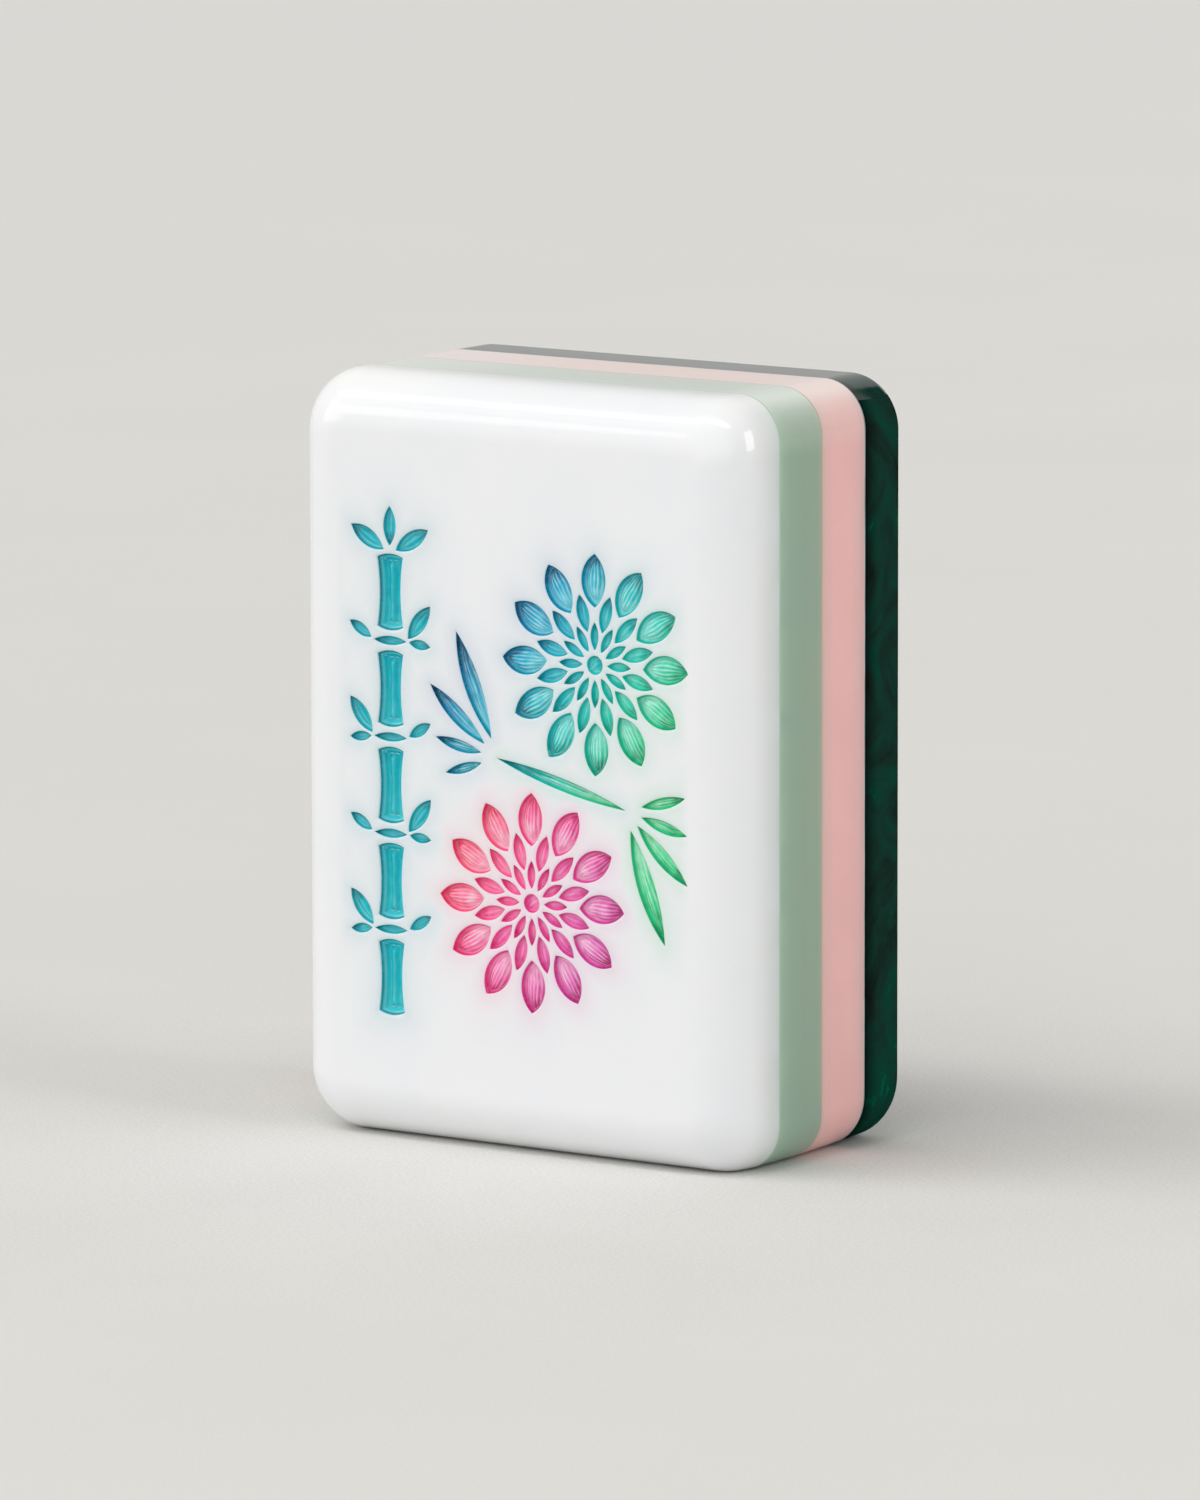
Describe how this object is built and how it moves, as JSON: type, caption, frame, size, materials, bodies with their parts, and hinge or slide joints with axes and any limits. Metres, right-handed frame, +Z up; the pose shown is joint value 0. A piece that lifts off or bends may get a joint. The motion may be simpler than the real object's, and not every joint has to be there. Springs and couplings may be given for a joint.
{
  "type": "mahjong tile",
  "caption": "Upright laminated mahjong tile: white carved face block with painted cane and blossom figures, coloured middle plates, and a rolled emerald back.",
  "frame": {"origin": "centre of the tile's footprint, on the surface that its short end stands on", "axes": "+Z up along the tile's length, -Y out of the carved face, +Y through the plates to the back, +X to the right of the face"},
  "size_m": [0.021, 0.0116, 0.03],
  "materials": {
    "white_acrylic": "milky white, tumbled and polished to a high gloss",
    "sage_acrylic": "sage green, polished",
    "pink_acrylic": "soft pink, polished",
    "emerald_acrylic": "dark translucent emerald with faint swirls, polished",
    "clear_cement": "clear, faintly yellow",
    "teal_paint": "teal lacquer, glossy",
    "green_paint": "blue green lacquer, glossy",
    "blue_paint": "blue to green blended lacquer, glossy",
    "pink_paint": "coral to magenta blended lacquer, glossy"
  },
  "bodies": {
    "root": {"face_block": "white_acrylic", "face_bond": "clear_cement", "sage_layer": "sage_acrylic", "middle_bond": "clear_cement", "pink_layer": "pink_acrylic", "back_bond": "clear_cement", "back_layer": "emerald_acrylic", "cane_stick_paint": "teal_paint", "cane_leaf_paint": "teal_paint", "branch_paint": "green_paint", "upper_petal_paint": "blue_paint", "upper_heart_paint": "blue_paint", "lower_petal_paint": "pink_paint", "lower_heart_paint": "pink_paint"}
  },
  "joints": []
}
